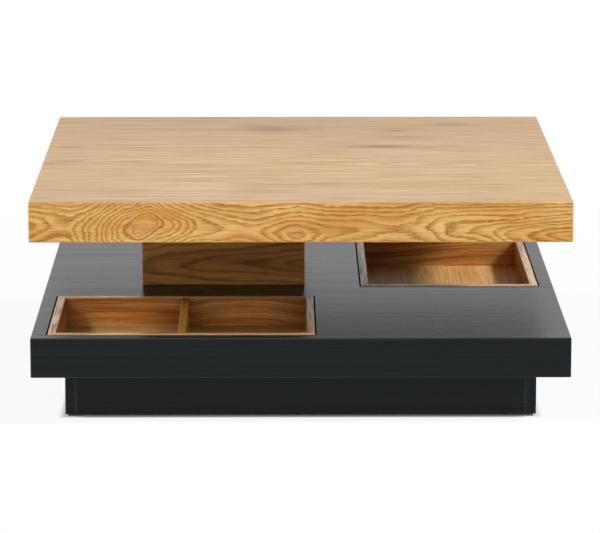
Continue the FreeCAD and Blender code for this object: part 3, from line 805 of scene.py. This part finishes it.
class HardwareTree(NodeSheet):
    """A Geometry Nodes tree that puts one shape on every point of a mesh."""

    def __init__(self, name: str, *sizes: str) -> None:
        """Start a tree with points, sizes and a material as its inputs.

        Args:
            name: The tree's name.
            sizes: Name of each size that it takes.
        """
        super().__init__(bpy.data.node_groups.new(name, "GeometryNodeTree"))
        face = self.tree.interface
        face.new_socket("Points", in_out="INPUT", socket_type="NodeSocketGeometry")
        self.identifiers: Dict[str, str] = {}
        for size, kind in {**dict.fromkeys(sizes, "NodeSocketFloat"), "Finish": "NodeSocketMaterial"}.items():
            self.identifiers[size] = face.new_socket(size, in_out="INPUT", socket_type=kind).identifier
        face.new_socket("Pieces", in_out="OUTPUT", socket_type="NodeSocketGeometry")
        self.entry = self.node("NodeGroupInput")

    def size(self, name: str) -> Signal:
        """One of the tree's inputs."""
        return Signal(self, self.entry.outputs[name])

    def lifted(self, shape: Signal, z: Value) -> Signal:
        """A shape shifted up."""
        return self.signal(
            "GeometryNodeTransform", sockets={"Geometry": shape, "Translation": self.vector(0.0, 0.0, z)}
        )

    def cylinder(self, sides: int, radius: Value, depth: Signal, z: Value) -> Signal:
        """Stand an upright cylinder on a level.

        Args:
            sides: Its number of sides.
            radius: Its radius.
            depth: Its height.
            z: The level.

        Returns:
            The cylinder.
        """
        sockets = {"Vertices": sides, "Radius": radius, "Depth": depth}
        shape = self.signal("GeometryNodeMeshCylinder", sockets=sockets, output="Mesh")
        return self.lifted(shape, depth * 0.5 + z)

    def cone(self, sides: int, low_radius: Value, high_radius: Value, depth: Value, z: Value) -> Signal:
        """Upright cone frustum of that height that stands on a level."""
        sockets = {"Vertices": sides, "Radius Bottom": low_radius, "Radius Top": high_radius, "Depth": depth}
        return self.lifted(self.signal("GeometryNodeMeshCone", sockets=sockets, output="Mesh"), z)

    def ring(self, sides: int, radius: Value) -> Signal:
        """Circle about the origin."""
        sockets = {"Resolution": sides, "Radius": radius}
        return self.signal("GeometryNodeCurvePrimitiveCircle", {"mode": "RADIUS"}, sockets)

    def swept(self, path: Signal, section: Signal) -> Signal:
        """Closed mesh of a section drawn along a path."""
        sockets = {"Curve": path, "Profile Curve": section, "Fill Caps": True}
        return self.signal("GeometryNodeCurveToMesh", sockets=sockets)

    def joined(self, *shapes: Signal) -> Signal:
        """Take several shapes together.

        Args:
            shapes: The shapes.

        Returns:
            All of them as one geometry.
        """
        join = self.node("GeometryNodeJoinGeometry")
        for shape in shapes:
            self.tree.links.new(shape.socket, join.inputs[0])
        return Signal(self, join.outputs[0])

    def close(self, shape: Signal) -> None:
        """Put the shape on every point, make it real and give it its finish.

        Args:
            shape: The shape, about the origin.
        """
        on_points = {"Points": self.size("Points"), "Instance": shape}
        copies = self.signal("GeometryNodeInstanceOnPoints", sockets=on_points)
        real = self.signal("GeometryNodeRealizeInstances", sockets={0: copies})
        finish = {"Geometry": real, "Material": self.size("Finish")}
        self.node("NodeGroupOutput", sockets={0: self.signal("GeometryNodeSetMaterial", sockets=finish)})


class Drive(Enum):
    """What a screw's head is turned by."""

    CROSS = "cross recess"
    HEXAGON = "hexagon head"


@dataclass(frozen=True)
class ScrewPattern:
    """Upright screw with its head at the foot: chamfered head, drive, shank and thread.

    Shares are of the head's radius or height, or of the shank's length.
    """

    drive: Drive
    thread_pitch: float = 0.0022
    thread_depth: float = 0.0003
    thread_share: float = 0.8
    thread_start: float = 0.18
    thread_steps: int = 14
    thread_sides: int = 3
    head_sides: int = 28
    shank_sides: int = 16
    chamfer_height: float = 0.3
    chamfer_radius: float = 0.86
    recess_width: float = 0.22
    recess_height: float = 1.1

    def tree(self) -> HardwareTree:
        """Build the tree for this pattern, about the middle of the head's underside.

        Returns:
            The tree.
        """
        name = f"screw_{self.drive.name.lower()}"
        tree = HardwareTree(name, "Width", "Height", "Head Height", "Shank Width")
        radius = tree.size("Width") * 0.5
        height = tree.size("Head Height")
        shank_length = tree.size("Height") - height
        core_radius = tree.size("Shank Width") * 0.5 - self.thread_depth
        sides = 6 if self.drive is Drive.HEXAGON else self.head_sides
        chamfer = height * self.chamfer_height
        head = tree.joined(
            tree.cone(sides, radius * self.chamfer_radius, radius, chamfer, 0.0),
            tree.cylinder(sides, radius, height - chamfer, chamfer),
        )
        if self.drive is Drive.CROSS:
            head = self._recessed(tree, head, radius, height)
        core = tree.cylinder(self.shank_sides, core_radius, shank_length, height)
        tree.close(tree.joined(head, core, self._thread(tree, core_radius, shank_length, height)))
        return tree

    def _recessed(self, tree: HardwareTree, head: Signal, radius: Signal, height: Signal) -> Signal:
        """Cut a cross into a head's underside.

        Args:
            tree: The tree.
            head: The head.
            radius: The head's radius.
            height: The head's height.

        Returns:
            The head with its recess.
        """
        settings = {"operation": "DIFFERENCE", "solver": "EXACT"}
        cut = tree.node("GeometryNodeMeshBoolean", settings, {"Mesh 1": head, "Self Intersection": True})
        for x_share, y_share in ((1.0, self.recess_width), (self.recess_width, 1.0)):
            size = tree.vector(radius * x_share, radius * y_share, height * self.recess_height)
            arm = tree.signal("GeometryNodeMeshCube", sockets={"Size": size}, output="Mesh")
            tree.tree.links.new(arm.socket, cut.inputs["Mesh 2"])
        sockets = {"Geometry": Signal(tree, cut.outputs["Mesh"]), "Distance": WELD}
        return tree.signal("GeometryNodeMergeByDistance", sockets=sockets)

    def _thread(self, tree: HardwareTree, radius: Signal, length: Signal, z: Signal) -> Signal:
        """Wind a thread round a shank.

        Args:
            tree: The tree.
            radius: The shank's core radius.
            length: The shank's length.
            z: The level that the shank starts at.

        Returns:
            The thread as a mesh.
        """
        sockets = {
            "Resolution": self.thread_steps,
            "Rotations": length * (self.thread_share / self.thread_pitch),
            "Start Radius": radius,
            "End Radius": radius,
            "Height": length * self.thread_share,
        }
        spiral = tree.signal("GeometryNodeCurveSpiral", sockets=sockets)
        ridge = tree.ring(self.thread_sides, self.thread_depth)
        return tree.lifted(tree.swept(spiral, ridge), length * self.thread_start + z)


@dataclass(frozen=True)
class GlidePattern:
    """Round floor glide with a bevelled foot. Shares are of its radius or height."""

    sides: int = 32
    foot_height: float = 0.2
    bevel_height: float = 0.3
    body_height: float = 0.5
    foot_radius: float = 0.72
    bevel_radius: float = 0.88

    def tree(self) -> HardwareTree:
        """Build the tree for this pattern, about the middle of the foot.

        Returns:
            The tree.
        """
        tree = HardwareTree("floor_glide", "Width", "Height")
        radius = tree.size("Width") * 0.5
        height = tree.size("Height")
        foot = height * self.foot_height
        bevel = height * self.bevel_height
        bevel_radius = radius * self.bevel_radius
        tree.close(tree.joined(
            tree.cone(self.sides, radius * self.foot_radius, bevel_radius, foot, 0.0),
            tree.cone(self.sides, bevel_radius, radius, bevel, foot),
            tree.cylinder(self.sides, radius, height * self.body_height, foot + bevel),
        ))
        return tree


@dataclass(frozen=True)
class WasherPattern:
    """Flat washer with a round bore."""

    sides: int = 36

    def tree(self) -> HardwareTree:
        """Build the tree for this pattern, about the middle of the underside.

        Returns:
            The tree.
        """
        tree = HardwareTree("flat_washer", "Width", "Bore", "Height")
        outer = tree.size("Width") * 0.5
        bore = tree.size("Bore") * 0.5
        height = tree.size("Height")
        sockets = {"Width": outer - bore, "Height": height}
        section = tree.signal("GeometryNodeCurvePrimitiveQuadrilateral", sockets=sockets)
        ring = tree.ring(self.sides, (outer + bore) * 0.5)
        tree.close(tree.lifted(tree.swept(ring, section), height * 0.5))
        return tree


@dataclass(frozen=True)
class BallPattern:
    """Polished bearing ball."""

    segments: int = 20
    rings: int = 12

    def tree(self) -> HardwareTree:
        """Build the tree for this pattern, about the ball's lowest point.

        Returns:
            The tree.
        """
        tree = HardwareTree("bearing_ball", "Height")
        radius = tree.size("Height") * 0.5
        sockets = {"Segments": self.segments, "Rings": self.rings, "Radius": radius}
        ball = tree.signal("GeometryNodeMeshUVSphere", sockets=sockets, output="Mesh")
        tree.close(tree.lifted(ball, radius))
        return tree


@dataclass
class HardwareSet:
    """All the copies of one small fixing on one body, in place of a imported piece."""

    name: str
    node: str
    body: str
    slot: str
    sizes: Mapping[str, float] = field(default_factory=dict)

    def build(self, tree: HardwareTree, material: bpy.types.Material) -> None:
        """Put the tree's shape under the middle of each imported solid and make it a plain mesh.

        The first solid gives the shape's width and height, and the set the sizes that can't be measured.

        Args:
            tree: The shape's tree.
            material: The finish.
        """
        boxes = solid_boxes(self.node)
        feet = [((low.x + high.x) / 2, (low.y + high.y) / 2, low.z) for low, high in boxes]
        reach = boxes[0][1] - boxes[0][0]
        inputs = {"Width": reach.x, "Height": reach.z, **self.sizes, "Finish": material}
        points = bpy.data.meshes.new(f"{self.name}_points")
        points.from_pydata(feet, [], [])
        piece = stand(self.name, points)
        modifier = piece.modifiers.new("Hardware", "NODES")
        modifier.node_group = tree.tree
        for size, identifier in tree.identifiers.items():
            modifier[identifier] = inputs[size]
        graph = bpy.context.evaluated_depsgraph_get()
        made = bpy.data.meshes.new_from_object(piece.evaluated_get(graph))
        piece.modifiers.clear()
        piece.data = made
        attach(piece, self.body)
        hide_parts(self.node)
        log.info("%s: %d faces on %s", self.name, len(made.polygons), self.body)


@dataclass
class OakTop:
    """Square oak board that turns: a face panel with long arches and four flamed edges."""

    knots_and_shade: Tuple[KnotOrShade, ...] = (
        KnotOrShade(-0.042, 0.271, 0.055, 0.026, 0.66),
        KnotOrShade(0.132, 0.095, 0.045, 0.012, 0.7),
        KnotOrShade(0.16, 0.095, 0.11, 0.009, 0.42),
        KnotOrShade(0.253, 0.316, 0.036, 0.014, 0.6),
        KnotOrShade(0.159, 0.25, 0.022, 0.01, 0.45),
        KnotOrShade(0.269, -0.052, 0.03, 0.012, 0.4),
        KnotOrShade(-0.361, -0.296, 0.04, 0.014, 0.45),
        KnotOrShade(-0.359, 0.088, 0.03, 0.01, 0.42),
        KnotOrShade(-0.381, -0.058, 0.06, 0.012, 0.4),
        KnotOrShade(0.03, -0.25, 0.09, 0.01, 0.36),
        # Painted shade: a broad dark band that makes the back of the top darker, where less light falls.
        KnotOrShade(-0.02, 0.44, 0.7, 0.3, 0.35),
    )
    face_heart: float = -0.06
    face_profile: Tuple[Point, ...] = (
        (-0.4, 0.02, 0.076), (-0.2, 0.008, 0.056), (0.0, 0.0, 0.044),
        (0.2, -0.012, 0.024), (0.4, -0.02, 0.004),
    )
    below_heart: float = -0.86
    edge_hearts: Tuple[float, ...] = (0.292, 0.31, 0.304, 0.298)
    edge_profile: Tuple[Point, ...] = (
        (-0.4, 0.0035, 0.041), (-0.347, 0.004, 0.0455), (-0.331, 0.0005, 0.0425),
        (-0.314, -0.002, 0.037), (-0.293, -0.0027, 0.028), (-0.264, 0.001, 0.015),
        (-0.246, 0.002, 0.009), (-0.232, 0.0065, 0.0), (-0.214, 0.011, 0.009),
        (-0.202, 0.0085, 0.0145), (-0.188, 0.0065, 0.019), (-0.161, 0.006, 0.028),
        (-0.12, 0.003, 0.033), (-0.065, 0.0, 0.035), (-0.03, -0.0035, 0.03),
        (0.0, -0.0045, 0.0265), (0.037, -0.003, 0.031), (0.145, 0.0015, 0.036),
        (0.195, 0.002, 0.031), (0.215, -0.0005, 0.0275), (0.28, -0.002, 0.0235),
        (0.303, -0.0065, 0.0195), (0.33, -0.008, 0.016), (0.4, -0.01, 0.008),
    )

    def dress(self) -> None:
        """Give the panel, the edges and the closing panel their leaves of oak."""
        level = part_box("top_panel")[1].z
        face = Cut(Axis.X, Axis.Y, level, -1.0, self.face_heart, self.face_profile, knots_and_shade=self.knots_and_shade)
        veneer("top_panel", OAK_FACE, "oak_top_face", face)
        below = Cut(Axis.X, Axis.Y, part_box("top_closing_panel")[0].z, heart=self.below_heart)
        veneer("top_closing_panel", OAK_BACKING, "oak_top_below", below)
        mirrored = tuple((-place, rise, depth) for place, rise, depth in reversed(self.edge_profile))
        for side, heart in zip(Side, self.edge_hearts):
            node = f"top_edge_{side.word}"
            profile = mirrored if side in (Side.BACK, Side.LEFT) else self.edge_profile
            cut = Cut(side.along, Axis.Z, side.outer_face(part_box(node)), side.inward, heart, profile)
            veneer(node, OAK_FLAME, f"oak_edge_{side.word}", cut)


@dataclass
class OakPillar:
    """Square oak box under the top, with a flame figure lying along each wall."""

    heart_level: float = 0.162
    profile: Tuple[Point, ...] = (
        (-0.128, -0.003, 0.034), (-0.088, -0.002, 0.0285), (-0.03, -0.001, 0.0235),
        (0.036, 0.001, 0.0195), (0.08, 0.002, 0.0155), (0.117, 0.003, 0.0105), (0.128, 0.003, 0.009),
    )

    def dress(self) -> None:
        """Give each wall its own leaf of oak."""
        for side in Side:
            node = f"pillar_{side.word}"
            low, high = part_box(node)
            middle = (low + high)[side.along.value] / 2
            profile = tuple((middle + place, rise, depth) for place, rise, depth in self.profile)
            outside = side.outer_face((low, high))
            cut = Cut(side.along, Axis.Z, outside, side.inward, self.heart_level, profile)
            veneer(node, OAK_PILLAR, f"oak_{node}", cut)


@dataclass
class OakTray:
    """Lift-out oak tray: straight grain along the walls and the floor, and painted shade on some boards."""

    name: str
    long_axis: Axis
    divided: bool
    painted_shade: Mapping[str, Tuple[KnotOrShade, ...]]
    heart_below: float = 0.35
    rim_depth: float = 0.0011

    def dress(self) -> None:
        """Give the walls, the floor and the divider their leaves of oak."""
        for side in Side:
            self._leaf(f"{side.word}_wall", side.along, Axis.Z, OAK_TRAY)
        other = Axis.Y if self.long_axis is Axis.X else Axis.X
        self._leaf("floor", self.long_axis, other, OAK_TRAY_FLOOR)
        if self.divided:
            self._leaf("divider", Axis.Y, Axis.Z, OAK_DIVIDER)

    def _leaf(self, board: str, along: Axis, across: Axis, oak: Oak) -> None:
        """Dress one board. An upright one shows raw wood on its upper edge.

        Args:
            board: The board's name in its tray.
            along: The way its grain runs.
            across: The way across it.
            oak: Its finish.
        """
        node = f"{self.name}_{board}"
        low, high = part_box(node)
        rim = high.z - self.rim_depth if across is Axis.Z else None
        heart = low[across.value] - self.heart_below
        # Painted shade for this board, if any, goes into the leaf as dark marks.
        cut = Cut(along, across, heart=heart, rim=rim, knots_and_shade=self.painted_shade.get(board, ()))
        veneer(node, oak, f"oak_{node}", cut)


# Painted shade in the divided tray: the divider's back end under the top, a darker strip of floor along the
# back wall, and on the back wall the left wall's shadow, the divider's shadow and a darker right end.
FRONT_TRAY_SHADE = {
    "divider": (KnotOrShade(-0.105, 0.13, 0.042, 0.05, 0.9),),
    "floor": (KnotOrShade(-0.18, -0.105, 2.0, 0.06, 0.55),),
    "back_wall": (
        KnotOrShade(-0.372, 0.08, 0.034, 0.045, 0.55),
        KnotOrShade(-0.166, 0.1, 0.018, 0.1, 0.28),
        KnotOrShade(0.012, 0.1, 0.046, 0.1, 0.42),
    ),
}
# Painted shade in the open tray: the left part of the floor and the left end of the back wall, darker where
# the top shades them.
REAR_TRAY_SHADE = {
    "floor": (KnotOrShade(0.26, 0.1, 2.0, 0.108, 0.68),),
    "back_wall": (KnotOrShade(0.1, 0.1, 0.12, 0.2, 0.62),),
}


@dataclass
class BlackShelf:
    """Black board that holds the trays, with its closing panel."""

    def dress(self) -> None:
        """Give the panels and the edges black leaves whose grain runs along each."""
        veneer("shelf_panel", BLACK_ASH, "black_shelf_face", Cut(Axis.X, Axis.Y))
        for side in Side:
            edge = f"shelf_edge_{side.word}"
            veneer(edge, BLACK_ASH, f"black_{edge}", Cut(side.along, Axis.Z))
        veneer("shelf_closing_panel", BLACK_ASH, "black_shelf_closing_panel", Cut(Axis.X, Axis.Y))


@dataclass
class BlackPlinth:
    """Black base boards on floor glides."""

    def dress(self) -> None:
        """Give the boards black leaves."""
        for board, along in (
            ("side_left", Axis.Y), ("side_right", Axis.Y), ("front", Axis.X), ("back", Axis.X),
        ):
            veneer(f"plinth_{board}", BLACK_PLINTH, f"black_plinth_{board}", Cut(along, Axis.Z))

    def build(self) -> None:
        """Make the glides under the side boards."""
        glides = HardwareSet("glide_set", "floor_glides", "base", "plastic")
        glides.build(GlidePattern().tree(), PLASTIC.material("glide_plastic"))


@dataclass
class Swivel:
    """Ball ring between the pillar and the top."""

    def dress(self) -> None:
        """Give the rings bare metal and the cage plastic."""
        paint("swivel_inner_ring", ALUMINIUM.material("ring_inner_metal"))
        paint("swivel_outer_ring", ALUMINIUM.material("ring_outer_metal"))
        paint("ball_cage", PLASTIC.material("cage_plastic"))

    def build(self) -> None:
        """Make the balls round."""
        balls = HardwareSet("ball_set", "bearing_balls", "ball_race", "steel")
        balls.build(BallPattern().tree(), STEEL.material("ball_steel"))


@dataclass
class Fixings:
    """Screws, bolts and washers, and the raw inner boards that they hold."""

    inner_boards: Tuple[str, ...] = (
        "plinth_corner_blocks", "plinth_fixing_blocks", "pillar_foot_battens", "pillar_head_board",
        "pillar_head_battens", "shelf_rib_middle", "shelf_rib_front", "shelf_rib_back", "shelf_anchor_block",
        "top_swivel_block", "top_rib_front", "top_rib_right",
    )
    bolt_pitch: float = 0.00125
    washer_bore: float = 0.0084

    def dress(self) -> None:
        """Give the inner boards and the insert nuts their finishes."""
        core = CORE_BOARD.material("raw_board")
        for node in self.inner_boards:
            paint(node, core)
        paint("pillar_insert_nuts", STEEL.material("insert_steel"))

    def build(self) -> None:
        """Make the washers, and the screws and bolts with their heads' heights and shanks' widths."""
        steel = STEEL.material("fixing_steel")
        cross = ScrewPattern(Drive.CROSS).tree()
        hexagon = ScrewPattern(Drive.HEXAGON, thread_pitch=self.bolt_pitch).tree()
        for name, node, body, tree, head, shank in (
            ("plinth_screw_set", "plinth_screws", "base", cross, 0.004, 0.006),
            ("pillar_bolt_set", "pillar_bolts", "base", hexagon, 0.0053, 0.008),
            ("inner_ring_screw_set", "inner_ring_screws", "base", cross, 0.003, 0.005),
            ("outer_ring_screw_set", "outer_ring_screws", "top", cross, 0.003, 0.004),
        ):
            sizes = {"Head Height": head, "Shank Width": shank}
            HardwareSet(name, node, body, "steel", sizes).build(tree, steel)
        bore = {"Bore": self.washer_bore}
        washers = HardwareSet("washer_set", "pillar_bolt_washers", "base", "steel", bore)
        washers.build(WasherPattern().tree(), steel)


@dataclass
class SoftBox:
    """Square lamp that looks at a point."""

    name: str
    place: Point
    aim: Point
    side: float
    power: float

    def build(self) -> None:
        """Hang the lamp."""
        lamp = bpy.data.lights.new(self.name, "AREA")
        lamp.shape = "SQUARE"
        lamp.size = self.side
        lamp.energy = self.power
        held = stand(self.name, lamp)
        held.location = self.place
        held.rotation_euler = (Vector(self.aim) - Vector(self.place)).to_track_quat("-Z", "Y").to_euler()


@dataclass
class Studio:
    """Pale floor, white surroundings, soft lamps and the camera."""

    floor_side: float = 60.0
    floor_grey: float = 0.86
    floor_white: float = 0.9
    shade_half: float = 0.352
    shade_fade: float = 0.012
    white_span: Span = (0.7, 1.8)
    ambient: float = 0.06
    window_light: float = 1.75
    window_side: Span = (0.0, 0.95)
    window_foot: Span = (0.1, 0.28)
    window_head: Span = (0.45, 0.7)
    lamps: Tuple[SoftBox, ...] = (
        SoftBox("left_softbox", (-4.9, -1.3, 4.7), (0.0, 0.0, 0.2), 1.0, 235.0),
        SoftBox("right_softbox", (4.9, -0.9, 4.86), (0.0, 0.0, 0.2), 1.0, 400.0),
    )
    lens: float = 220.8
    camera_place: Point = (-0.0306, -5.7067, 1.3021)
    camera_pitch: float = 0.1979
    camera_turn: float = -0.0055
    camera_reach: float = 200.0

    def build(self) -> None:
        """Set up everything round the table."""
        bpy.context.scene.view_settings.view_transform = "Standard"
        self._surroundings()
        self._floor()
        for lamp in self.lamps:
            lamp.build()
        self._camera()
        log.info("studio: %d lamps", len(self.lamps))

    @staticmethod
    def _seen(sheet: NodeSheet) -> Signal:
        """Tell whether a ray comes from the camera, a gloss or a clear surface.

        Args:
            sheet: The tree that asks.

        Returns:
            1 if it does, and 0 if not.
        """
        path = sheet.node("ShaderNodeLightPath").outputs
        kinds = ("Is Camera Ray", "Is Glossy Ray", "Is Transmission Ray")
        camera, glossy, clear = (Signal(sheet, path[kind]) for kind in kinds)
        return camera.most(glossy).most(clear)

    def _surroundings(self) -> None:
        """White to the eye and in reflections, and as light soft but for a wide window in front."""
        world = bpy.data.worlds.new("white_surroundings")
        world.use_nodes = True
        bpy.context.scene.world = world
        sheet = NodeSheet(world.node_tree)
        world.node_tree.nodes.clear()
        _, y, z = sheet.place("Generated")
        height = z.rise(*self.window_foot) * (1.0 - z.rise(*self.window_head))
        soft = (-y).rise(*self.window_side) * height * self.window_light + self.ambient
        seen = self._seen(sheet)
        level = seen + (1.0 - seen) * soft
        light = sheet.signal("ShaderNodeBackground", sockets={"Color": WHITE, "Strength": level})
        sheet.node("ShaderNodeOutputWorld", sockets={"Surface": light})

    def _floor(self) -> None:
        """Lay a pale floor that shows white and keeps a soft shadow."""
        half = self.floor_side / 2
        mesh = bpy.data.meshes.new("floor")
        corners = [(-half, -half, 0.0), (half, -half, 0.0), (half, half, 0.0), (-half, half, 0.0)]
        mesh.from_pydata(corners, [], [(0, 1, 2, 3)])
        floor = stand("floor", mesh)
        sheet = MaterialSheet("pale_floor")
        matt = sheet.signal("ShaderNodeBsdfDiffuse", sockets={"Color": (*[self.floor_grey] * 3, 1.0)})
        white = sheet.signal("ShaderNodeEmission", sockets={"Color": WHITE, "Strength": 1.0})
        x, y, _ = sheet.point
        near = (abs(x).most(abs(y)) - self.shade_half).rise(0.0, self.shade_fade)
        far = ((x * x + y * y) ** 0.5).rise(*self.white_span)
        share = self._seen(sheet) * (near * self.floor_white + far * (1.0 - self.floor_white))
        both = sheet.signal("ShaderNodeMixShader", sockets={0: share, 1: matt, 2: white})
        sheet.node("ShaderNodeOutputMaterial", sockets={"Surface": both})
        mesh.materials.append(sheet.material)

    def _camera(self) -> None:
        """Stand the camera where the photograph was taken from."""
        data = bpy.data.cameras.new("camera")
        data.lens = self.lens
        data.clip_end = self.camera_reach
        data.dof.use_dof = False
        camera = stand("camera", data)
        camera.location = self.camera_place
        camera.rotation_euler = (math.pi / 2 - self.camera_pitch, 0.0, self.camera_turn)
        bpy.context.scene.camera = camera


def main() -> None:
    """Build and dress the table from the top down, then the studio round it."""
    logging.basicConfig(level=logging.INFO, format="%(message)s")
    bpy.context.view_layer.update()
    OakTop().dress()
    OakPillar().dress()
    OakTray("divided_tray", Axis.X, True, FRONT_TRAY_SHADE).dress()
    OakTray("open_tray", Axis.Y, False, REAR_TRAY_SHADE).dress()
    BlackShelf().dress()
    for assembly in (BlackPlinth(), Swivel(), Fixings()):
        assembly.dress()
        assembly.build()
    Studio().build()


if __name__ == "__main__":
    main()
